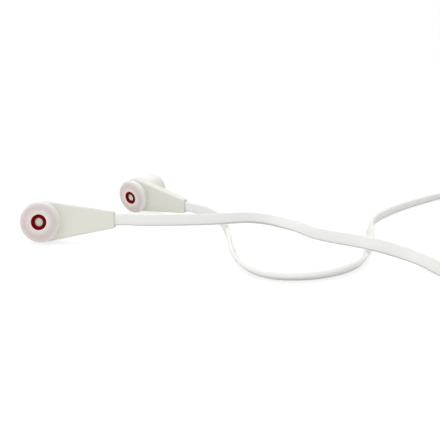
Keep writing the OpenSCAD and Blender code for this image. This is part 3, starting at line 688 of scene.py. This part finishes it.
def rear_shell():
    """Sloped back with the round hole for the cup and the step for its flange."""
    hole, step, ledge = CUP_R + SEAT, FLANGE_R + SEAT, -SPLIT - FLANGE_T - SEAT
    loops = [paddle_loop(SEAM, -SPLIT), paddle_loop(0.0, -SPLIT - SEAM)]
    for angle in quarter(EDGE_STEPS):
        inset, up = EDGE_R * (1 - cos(angle)), EDGE_R * (1 - sin(angle))
        loops.append([(x, y, back_face(x) + up) for x, y in paddle_outline(inset)])
    return paddle_skin(loops, [(hole + CHAMFER, -BODY_T), (hole, -BODY_T + CHAMFER),
                               (hole, ledge), (step, ledge), (step, -SPLIT)])


def tail_cutters():
    """Room in both shells for the wires, the clamp, the ribbon and the collar."""
    collar_back = TAIL_L - COLLAR_IN
    rooms = ((WIRES_START, CLAMP_START, WIRES_W, WIRES_T),
             (CLAMP_START - 3 * SEAT, CLAMP_END + SEAT, CLAMP_W, CLAMP_T),
             (CLAMP_END - RIBBON_ROOM, collar_back + RIBBON_ROOM, BRANCH_W + 6 * SEAT,
              RIBBON_T + 2 * SEAT),
             (collar_back - SEAT, TAIL_L + 1, COLLAR_H + 2 * SEAT, COLLAR_T + 2 * SEAT))
    return [loft([[(x, y * width / 2, z * height / 2 - SPLIT) for y, z in CORNERS]
                  for x in (start, end)]) for start, end, width, height in rooms]


# ---- Cup, cap, tip and core ----


def driver_cup():
    """Deep cup with a flange at its mouth, a fine groove, and a recess for the cap."""
    recess_r, recess_z = CAP_R + SEAT, CAP_RECESS - CUP_DEPTH
    inner_back = CUP_DEPTH - CAP_RECESS - CUP_WALL
    inner_r = CUP_ROUND - CUP_WALL
    neck = SPLIT + FLANGE_T
    profile = [(0, recess_z), (recess_r, recess_z), (recess_r, CAP_EDGE - CUP_DEPTH),
               (recess_r + CAP_EDGE, -CUP_DEPTH)]
    profile += arc(CUP_R - CUP_ROUND, CUP_ROUND - CUP_DEPTH, CUP_ROUND, -90, 0, 8)
    profile += ring_groove(CUP_R, -BODY_T - 1.1, 0.07, 0.08, 0.12)
    profile += [(CUP_R, -neck), (FLANGE_R, -neck), (FLANGE_R, -SPLIT), (CUP_BORE_R, -SPLIT)]
    profile += arc(CUP_BORE_R - inner_r, inner_r - inner_back, inner_r, 0, -90, 5)
    profile += [(0, -inner_back)]
    return revolve(profile)


def vent_cutter():
    length, past = 3, 1
    verts, faces = revolve([(0, 0), (VENT_R, 0), (VENT_R, length), (0, length)], 32)
    matrix = (Matrix.Translation((0, length - CUP_R - past, VENT_Z))
              @ Matrix.Rotation(radians(90), 4, "X"))
    return [matrix @ v for v in verts], faces


def rear_cap():
    """Blank disc with a shallow dome and a fine ring groove near its rim."""
    bevel, groove_r, groove_depth = 0.04, CAP_R - 0.75, 0.07
    front = CAP_RECESS - SEAT - CUP_DEPTH

    def crown(r):
        return bevel - CUP_DEPTH - CAP_DOME * max(1 - (r / CAP_R) ** 2, 0) ** 0.75

    rings = [CAP_R * cos(angle) for angle in quarter(12)]
    at = crown(groove_r)
    profile = [(0, front), (CAP_R - bevel, front), (CAP_R, front - bevel)]
    profile += [(r, crown(r)) for r in rings if r > groove_r + 0.12]
    profile += [(groove_r + 0.09, at), (groove_r + 0.03, at + groove_depth),
                (groove_r - 0.03, at + groove_depth), (groove_r - 0.09, at - 0.01)]
    profile += [(r, crown(r)) for r in rings if 0.01 < r < groove_r - 0.12]
    profile += [(0, crown(0))]
    return revolve(profile)


def dome_point(share, wall):
    """The ear tip's dome from its crest (0) to its widest circle (1), or its inside."""
    angle = pi / 2 * share
    return (CORE_R + (TIP_R - wall - CORE_R) * sin(angle) ** 0.8,
            TIP_RIM + (TIP_FRONT - wall - TIP_RIM) * cos(angle) ** 0.75)


def ear_tip():
    """Thin dome that curls back into a skirt with a round lip, and its root on the core."""
    steps, first_inside = 20, 4
    skirt_in, flare = 0.35, 0.08
    root = TIP_FRONT - 1.3
    middle = (TIP_RIM + TIP_GAP) / 2
    lip = TIP_WALL / 2
    profile = [(CORE_R, TIP_FRONT - 0.02)]
    profile += [dome_point(k / steps, 0) for k in range(1, steps + 1)]
    profile += [(TIP_R - flare, middle)]
    profile += arc(TIP_R - skirt_in - lip, TIP_GAP + lip, lip, 0, -180, 6)
    profile += [(TIP_R - TIP_WALL - flare, middle)]
    profile += [dome_point(k / steps, TIP_WALL) for k in range(steps, first_inside, -1)]
    profile += [(CORE_R + 0.4, root + 0.25), (CORE_R, root)]
    return revolve(profile, 128)


def ear_tip_core():
    """Stiff tube on the nozzle, closed to a smaller round hole in front."""
    outer_round, hole_round = 0.22, 0.15
    lip, bore = NOZZLE_L + SEAT, NOZZLE_R + SEAT
    profile = [(bore, TIP_GAP), (CORE_R - 0.1, TIP_GAP), (CORE_R, TIP_GAP + 0.1)]
    profile += arc(CORE_R - outer_round, CORE_FRONT - outer_round, outer_round, 0, 90, 5)
    profile += arc(CORE_HOLE_R + hole_round, CORE_FRONT - hole_round, hole_round, 90, 180, 4)
    profile += [(CORE_HOLE_R, lip), (bore, lip)]
    return revolve(profile)


# ---- Woven mesh in the nozzle, and the cloth behind it ----


def repeated(graph, places, shape):
    """A copy of the shape at each place, made real."""
    copies = graph.value("GeometryNodeInstanceOnPoints", {"Points": places, "Instance": shape})
    return graph.value("GeometryNodeRealizeInstances", {0: copies})


def geometry_group(name, sizes):
    """A Geometry Nodes group with named sizes and a finish."""
    inputs = {"Geometry": "Geometry", **sizes, "Finish": "Material"}
    return group_graph(name, "GeometryNodeTree", inputs, {"Geometry": "Geometry"})


def tube_along(graph, curve, radius, sides, capped):
    ring = graph.value("GeometryNodeCurvePrimitiveCircle", {"Resolution": sides, "Radius": radius})
    return graph.value("GeometryNodeCurveToMesh", {"Curve": curve, "Profile Curve": ring,
                                                   "Fill Caps": capped})


def dress(graph, geometry, given, out):
    """End a tree: every copy made real, and the finish set."""
    real = graph.value("GeometryNodeRealizeInstances", {0: geometry})
    graph.feed(out[0], graph.value("GeometryNodeSetMaterial", {"Geometry": real,
                                                               "Material": given["Finish"]}))


def woven_tree():
    """A round piece of wire cloth: two sets of wires that pass over and under each other."""
    tree, graph, given, out = geometry_group("wire_cloth", {
        "Radius": MESH_R, "Pitch": 0.205, "Wire": 0.058, "Wires": 15, "Points": 57})
    maths, vector = graph.maths, graph.vector
    pitch = given["Pitch"]
    span = maths("MULTIPLY", maths("SUBTRACT", given["Wires"], 1), pitch)
    half = maths("MULTIPLY", span, -0.5)
    gap = maths("DIVIDE", span, maths("SUBTRACT", given["Points"], 1))
    rows = graph.value("GeometryNodeMeshLine", {
        "Count": given["Wires"], "Start Location": vector(y=half), "Offset": vector(y=pitch)})
    wire = graph.value("GeometryNodeMeshLine", {
        "Count": given["Points"], "Start Location": vector(x=half), "Offset": vector(x=gap)})
    place = graph.value("GeometryNodeInputPosition")
    axes = graph.add("ShaderNodeSeparateXYZ", {0: place}).outputs
    reach = graph.add("ShaderNodeVectorMath", {0: place}, operation="LENGTH").outputs["Value"]
    clipped = graph.value("GeometryNodeDeleteGeometry", {
        "Geometry": repeated(graph, rows, wire),
        "Selection": maths("GREATER_THAN", reach, given["Radius"])}, domain="POINT")
    waves = [maths("COSINE", maths("DIVIDE", maths("MULTIPLY", axes[axis], pi), pitch))
             for axis in ("X", "Y")]
    lift = maths("MULTIPLY", maths("MULTIPLY", *waves), given["Wire"])
    woven = graph.value("GeometryNodeSetPosition", {"Geometry": clipped, "Offset": vector(z=lift)})
    curve = graph.value("GeometryNodeMeshToCurve", {0: woven})
    tube = tube_along(graph, curve, given["Wire"], 6, True)
    crossing = graph.value("GeometryNodeTransform", {"Geometry": tube,
                                                     "Rotation": (pi, 0, pi / 2)})
    both = graph.add("GeometryNodeJoinGeometry")
    for wires in (tube, crossing):
        graph.feed(both.inputs[0], wires)
    dress(graph, both.outputs[0], given, out)
    return tree


def grown(tree, material):
    """The plain mesh that a Geometry Nodes tree makes with its own sizes."""
    carrier = linked("carrier", bpy.data.meshes.new("carrier"))
    grower = carrier.modifiers.new("grower", "NODES")
    grower.node_group = tree
    grower[tree.interface.items_tree["Finish"].identifier] = material
    mesh = evaluated(carrier)
    shape = ([v.co.copy() for v in mesh.vertices], [tuple(p.vertices) for p in mesh.polygons])
    bpy.data.objects.remove(carrier)
    bpy.data.meshes.remove(mesh)
    return shape


def mesh_fleece():
    """Thin damping cloth bonded to the back of the woven wires."""
    front, back = -0.02, -0.07
    return revolve([(0, front), (MESH_R, front), (MESH_R, back), (0, back)], 64)


# ---- Collar ----


def cord_collar():
    """Soft block sunk in the mouth of the tail: two lips on a neck, and the ribbon's slot."""
    lip_round = 0.15

    def section(*sizes):
        return block_section(*sizes, z=-SPLIT)

    back, front = TAIL_L - COLLAR_IN, TAIL_L - COLLAR_SINK
    lip = (COLLAR_H - 2 * SEAT, COLLAR_T - 2 * SEAT, 0.3)
    neck = (COLLAR_H - 2 * COLLAR_NECK, COLLAR_T - 2 * COLLAR_NECK, 0.3)
    slot = (BRANCH_W + 0.06, RIBBON_T + 0.06, RIBBON_ROUND)
    loops = [section(back, *lip), section(back + COLLAR_LIP, *lip),
             section(back + COLLAR_LIP, *neck), section(front - COLLAR_LIP, *neck),
             section(front - COLLAR_LIP, COLLAR_H, COLLAR_T, 0.35)]
    for angle in quarter(4):
        inset = lip_round * (1 - cos(angle))
        loops.append(section(front - lip_round + lip_round * sin(angle), COLLAR_H - 2 * inset,
                             COLLAR_T - 2 * inset, 0.35))
    loops += [section(front, slot[0] + 0.1, slot[1] + 0.06, RIBBON_ROUND),
              section(front - 0.06, *slot), section(back, *slot)]
    return loft(loops, wrap=True)


# ---- Ribbons ----


def lifted(point, width):
    """A chosen point with the space under the ribbon turned into its middle's height."""
    x, y, space, lean = point
    tilt = radians(lean)
    return (x, y, space + abs(cos(tilt)) * width / 2 + abs(sin(tilt)) * RIBBON_T / 2, lean)


def smooth_path(points, steps):
    """A smooth curve through the points, each of x, y, z and lean."""
    out = []
    last = len(points) - 1
    for i in range(last):
        a, b = points[max(i - 1, 0)], points[i]
        c, d = points[i + 1], points[min(i + 2, last)]
        for k in range(steps):
            t = k / steps
            out.append(tuple(0.5 * (2 * q + (r - p) * t + (2 * p - 5 * q + 4 * r - s) * t * t
                                    + (3 * q - p - 3 * r + s) * t ** 3)
                             for p, q, r, s in zip(a, b, c, d)))
    return out + [tuple(points[-1])]


def exit_points(side):
    """From the clamp, straight through the collar, and one ribbon's width beyond it."""
    matrix = bud_matrix(side)
    way, up = matrix.col[0].xyz, matrix.col[1].xyz
    across = way.cross(Vector((0, 0, 1))).normalized()
    lean = degrees(atan2(up.dot(across), up.dot(across.cross(way))))
    return [(*(matrix @ Vector((x, 0, -SPLIT))), lean)
            for x in (CLAMP_END + SEAT, TAIL_L + BRANCH_W)]


def splitter_point(x, y):
    turn = radians(SPLITTER_TURN)
    return (SPLITTER_AT[0] + x * cos(turn) - y * sin(turn),
            SPLITTER_AT[1] + x * sin(turn) + y * cos(turn), SPLITTER_T / 2)


def branch_path(side, points, offset):
    """From the clamp in the tail, along the chosen points, into the splitter."""
    ends = [(*splitter_point(-SPLITTER_L / 2 - x, offset), FLAT) for x in (BRANCH_W, 0)]
    middle = [lifted(point, BRANCH_W) for point in points]
    return smooth_path(exit_points(side) + middle + ends, 8)


def coil_path():
    """Two layers: spiral in below, climb in half a turn, and spiral out on top."""
    rings = 48
    points = []
    for i in range(round(rings * (2 * COIL_TURNS + CLIMB_TURNS)) + 1):
        turn = i / rings
        climb = min(max((turn - COIL_TURNS) / CLIMB_TURNS, 0), 1)
        inwards = min(turn, COIL_TURNS, 2 * COIL_TURNS + CLIMB_TURNS - turn)
        radius = COIL_R - COIL_PITCH * inwards - CLIMB_DIP * sin(pi * climb)
        angle = -2 * pi * turn
        height = MAIN_W / 2 + LAYER_STEP * climb * climb * (3 - 2 * climb)
        points.append((COIL_AT[0] + radius * cos(angle), COIL_AT[1] + radius * sin(angle),
                       height, 0))
    return points


def main_path():
    """From the splitter, past the coil's side into it, and out on top to the plug."""
    def beside_coil(widths, base):
        return (COIL_AT[0] + COIL_R, COIL_AT[1] + widths * MAIN_W, MAIN_W / 2 + base, 0)

    lead_in = [(*splitter_point(SPLITTER_L / 2 + x, 0), FLAT) for x in (0, MAIN_W)]
    lead_in += [lifted(point, MAIN_W) for point in LEAD_IN_POINTS]
    lead_in += [beside_coil(widths, 0) for widths in (2, 1, 0)]
    lead_out = [beside_coil(-widths, LAYER_STEP) for widths in (0, 1, 2)]
    lead_out += [lifted(point, MAIN_W) for point in LEAD_OUT_POINTS]
    lead_out += [(PLUG_X, PLUG_BACK_Y + y, HANDLE_R, 0) for y in (MAIN_W, 0)]
    return smooth_path(lead_in, 6)[:-1] + coil_path() + smooth_path(lead_out, 6)[1:]


def ribbon_rings(path, width):
    """The section set square to the path, turned by its lean, at every point."""
    section = rounded_rectangle(width, RIBBON_T, RIBBON_ROUND, 4)
    rings = []
    last = len(path) - 1
    for i, (x, y, z, lean) in enumerate(path):
        way = (Vector(path[min(i + 1, last)][:3]) - Vector(path[max(i - 1, 0)][:3])).normalized()
        side = way.cross(Vector((0, 0, 1))).normalized()
        tilt = radians(lean)
        wide = cos(tilt) * side.cross(way) + sin(tilt) * side
        thick = wide.cross(way)
        rings.append([Vector((x, y, z)) + u * wide + v * thick for u, v in section])
    return rings


def distances(path):
    """How far along the path each of its points lies."""
    along = [0.0]
    for a, b in zip(path, path[1:]):
        along.append(along[-1] + (Vector(a[:3]) - Vector(b[:3])).length)
    return along


def unroll(mesh, sides, along):
    """A UV map round the section in U and along the ribbon in V, in millimetres."""
    layer = mesh.uv_layers.new(name="ribbon")
    for face in mesh.polygons:
        around = [index % sides for index in face.vertices]
        seam = max(around) - min(around) > sides / 2
        for corner, index, u in zip(face.loop_indices, face.vertices, around):
            past = sides if seam and u < sides / 2 else 0
            layer.data[corner].uv = ((u + past) / sides, along[index // sides])


def lay_cord(name, path, width, nodes):
    """A ribbon along its path."""
    rings, along = ribbon_rings(path, width), distances(path)
    made = piece(name, loft(rings), Matrix(), RIBBON, "ribbon", nodes, sharp=50)
    unroll(made.data, len(rings[0]), along)
    [Vector(point[:3]) * MM for point in path]


# ---- Splitter ----


def splitter():
    """Flat block with rounded ends, drawn in a little at its waist."""
    corner, edge, waist_dip, end_steps, waist_steps = 1.3, 0.7, 0.22, 6, 12
    back = -SPLITTER_L / 2

    def section(x, inset_w, inset_t):
        height = SPLITTER_T - 2 * inset_t
        return block_section(x, SPLITTER_W - 2 * inset_w, height, min(corner, height / 2 - 0.02), 7)

    end, waist = [], []
    for angle in quarter(end_steps):
        inset = edge * (1 - sin(angle))
        end.append(section(back + edge * (1 - cos(angle)), inset, inset))
    for k in range(1, waist_steps):
        share = k / waist_steps
        waist.append(section(back + edge + (SPLITTER_L - 2 * edge) * share,
                             waist_dip * sin(pi * share), 0))
    return loft(end + waist + [[(-x, y, z) for x, y, z in loop] for loop in reversed(end)])


def splitter_lip(x, y, width, way):
    """A soft lip round a ribbon where it enters the splitter."""
    loops = []
    for along, grow in ((0.15, 0.5), (0.0, 0.5), (-0.12, 0.42), (-0.18, 0.3), (-0.18, 0.04),
                        (0.15, 0.04)):
        points = rounded_rectangle(width + 2 * grow, RIBBON_T + 2 * grow, RIBBON_ROUND + grow, 4)
        loops.append([(x + way * along, y + u, v) for u, v in points])
    return loft(loops, wrap=True)


# ---- Plug ----


def plug_relief():
    """Flat tapered sleeve with grooves that let it bend across the ribbon."""
    start_w, end_w = MAIN_W + 0.8, 2 * HANDLE_R - 1.4
    start_t, end_t = RIBBON_T + 0.8, 3.7
    first, step, flank, groove_w, groove_depth = 1.3, 1.45, 0.08, 0.5, 0.32

    def section(x, dip):
        share = x / RELIEF_L
        width = start_w + (end_w - start_w) * share - 1.2 * dip
        height = start_t + (end_t - start_t) * share - 2 * dip
        return block_section(x, height, width, min(0.6 + 0.5 * share, height / 2 - 0.02))

    places = [(0, 0.25), (0.15, 0.05), (0.2, 0)]
    for start in (first + step * k for k in range(4)):
        places += [(start, 0), (start + flank, groove_depth), (start + groove_w, groove_depth),
                   (start + groove_w + flank, 0)]
    return loft([section(x, dip) for x, dip in places + [(RELIEF_L, 0)]])


def plug_handle():
    """Turned grip with a round back, a fine groove, a waist and a stepped front."""
    r, end = HANDLE_R, HANDLE_L
    back_round, front_round, waist_start, waist_dip, steps = 0.7, 0.5, 2.7, 0.35, 12
    waist_l = end - 5.6
    profile = [(0, 0), (r - back_round, 0)]
    profile += arc(r - back_round, back_round, back_round, -90, 0, 6)
    profile += ring_groove(r, 2.3, 0.06, 0.06, 0.14)
    for k in range(steps + 1):
        share = k / steps
        profile.append((r - waist_dip * sin(pi * share) ** 2, waist_start + waist_l * share))
    profile += arc(r - front_round, end - 1.3, front_round, 0, 70, 4)
    profile += [(r - 0.9, end - 0.5), (r - 1.0, end - 0.1), (r - 1.1, end), (0, end)]
    return revolve(profile)


def grip_tree():
    """Raised rings spaced evenly along Z."""
    tree, graph, given, out = geometry_group("grip_rings", {
        "Count": 9, "Start": 4.6, "Step": 0.85, "Radius": HANDLE_R - 0.34, "Bead": 0.16})
    line = graph.value("GeometryNodeMeshLine", {
        "Count": given["Count"], "Start Location": graph.vector(z=given["Start"]),
        "Offset": graph.vector(z=given["Step"])})
    ring = graph.value("GeometryNodeCurvePrimitiveCircle", {"Resolution": 64,
                                                            "Radius": given["Radius"]})
    dress(graph, repeated(graph, line, tube_along(graph, ring, given["Bead"], 8, False)),
          given, out)
    return tree


SLEEVE_END = PLUG_L * 0.47
RING_START = SLEEVE_END + 0.6
RING_END = RING_START + 2.2
TIP_START = RING_END + 0.6


def shaft_band(start, end, radius, bevel):
    return revolve([(0, start), (radius - bevel, start), (radius, start + bevel),
                    (radius, end - bevel), (radius - bevel, end), (0, end)], 64)


def plug_tip():
    """Tip contact: a collar, a round-bottomed neck and a rounded nose."""
    collar_r, neck_r, nose_r, steps = PLUG_R - 0.15, 1.15, PLUG_R - 0.22, 8
    neck_start, neck_l = TIP_START + 0.3, 1.5
    nose_start = TIP_START + 2.1
    inner = [k / steps for k in range(1, steps)]
    profile = [(0, TIP_START), (collar_r - 0.05, TIP_START), (collar_r, TIP_START + 0.05),
               (collar_r, neck_start)]
    profile += [(collar_r - (collar_r - neck_r) * sin(pi * share) ** 0.8,
                 neck_start + neck_l * share) for share in inner]
    profile += [(nose_r - 0.03, TIP_START + 1.8), (nose_r, nose_start)]
    profile += [(nose_r * cos(pi / 2 * share) ** 0.9, nose_start + (PLUG_L - nose_start) * share)
                for share in inner]
    return revolve(profile + [(0, PLUG_L)], 64)


# ---- Building the pieces ----


def build_bud(side):
    matrix = bud_matrix(side)
    seat = matrix @ Matrix.Translation((0, 0, NOZZLE_L - MESH_SINK))

    def part(name, shape, material, slot, node, place=matrix, **more):
        return piece(f"{side}_{name}", shape, place, material, slot, [f"{side}_{node}"], **more)

    part("front_housing", front_shell(), SHELL, "shell", "front_shell", cutters=tail_cutters())
    part("rear_housing", rear_shell(), SHELL, "shell", "rear_shell", cutters=tail_cutters())
    part("cup", driver_cup(), CUP, "shell", "driver_cup", cutters=[vent_cutter()])
    part("cap", rear_cap(), CAP, "cap", "rear_cap")
    dome = part("silicone_tip", ear_tip(), SILICONE, "ear_tip", "ear_tip", body=f"{side}_tip",
                sharp=60)
    # Distance from the axis as a share of the tip's radius, which places the silicone's painted
    # shade band
    across = dome.data.attributes.new("across", "FLOAT", "POINT")
    for point, corner in zip(across.data, ear_tip()[0]):
        point.value = hypot(corner.x, corner.y) / TIP_R
    part("tip_core", ear_tip_core(), CORE, "tip_core", "ear_tip_core", body=f"{side}_tip")
    part("wire_mesh", grown(WOVEN, MESH_WIRE), MESH_WIRE, "mesh", "nozzle_mesh", seat)
    part("mesh_fleece", mesh_fleece(), FLEECE, "mesh", "nozzle_mesh", seat)
    part("collar", cord_collar(), COLLAR, "collar", "cord_collar")


def build_splitter():
    matrix = (Matrix.Translation((*SPLITTER_AT, SPLITTER_T / 2))
              @ Matrix.Rotation(radians(SPLITTER_TURN), 4, "Z"))
    half = SPLITTER_L / 2
    block = joined(splitter(), splitter_lip(-half, BRANCH_SHIFT, BRANCH_W, 1),
                   splitter_lip(-half, -BRANCH_SHIFT, BRANCH_W, 1),
                   splitter_lip(half, 0, MAIN_W, -1))
    return piece("splitter_block", block, matrix, SPLITTER, "splitter", ["splitter"])


def build_plug():
    back = (Matrix.Translation((PLUG_X, PLUG_BACK_Y, HANDLE_R))
            @ Matrix.Rotation(radians(-90), 4, "Z"))
    handle, shaft = (back @ Matrix.Translation((x, 0, 0)) @ Matrix.Rotation(radians(90), 4, "Y")
                     for x in (RELIEF_L, RELIEF_L + HANDLE_L))
    insulators = joined(*[shaft_band(start, end, PLUG_R - SEAT, 0.02) for start, end in
                          ((SLEEVE_END, RING_START), (RING_END, TIP_START))])
    contacts = (("sleeve", shaft_band(0, SLEEVE_END, PLUG_R, 0.04)),
                ("ring", shaft_band(RING_START, RING_END, PLUG_R, 0.04)), ("tip", plug_tip()))
    return [
        piece("plug_strain_relief", plug_relief(), back, COLLAR, "collar", ["plug_relief"]),
        piece("plug_grip", joined(plug_handle(), grown(grip_tree(), HANDLE)), handle, HANDLE,
              "handle", ["plug_handle"]),
        *[piece(f"plug_{name}_contact", shape, shaft, CONTACT, "contact", [f"plug_{name}"])
          for name, shape in contacts],
        piece("plug_insulator_rings", insulators, shaft, BLACK, "driver_plastic",
              ["plug_insulators"])]


def build_cords(block, plug):
    for side, points, shift in (("left", LEFT_POINTS, -BRANCH_SHIFT),
                                ("right", RIGHT_POINTS, BRANCH_SHIFT)):
        lay_cord(f"{side}_ribbon", branch_path(side, points, shift), BRANCH_W, [f"{side}_cord"])
    lay_cord("main_ribbon", main_path(), MAIN_W, ["lead_to_coil", "lead_coil", "lead_to_plug"])


def dress_inner_nodes():
    """The driver and the wires stay as constructed, with their own finishes."""
    finishes = {"driver_frame": BLACK, "diaphragm": FILM, "voice_coil": COPPER,
                "top_plate": STEEL, "magnet": MAGNET, "yoke": STEEL, "terminal_board": BOARD,
                "driver_wires": COPPER, "cord_clamp": STEEL}
    for side in LIE:
        for node, material in finishes.items():
            for place in bpy.data.objects[f"{side}_{node}"].material_slots:
                place.material = material


WOVEN = woven_tree()
for bud in LIE:
    build_bud(bud)
build_cords(build_splitter(), build_plug())
dress_inner_nodes()
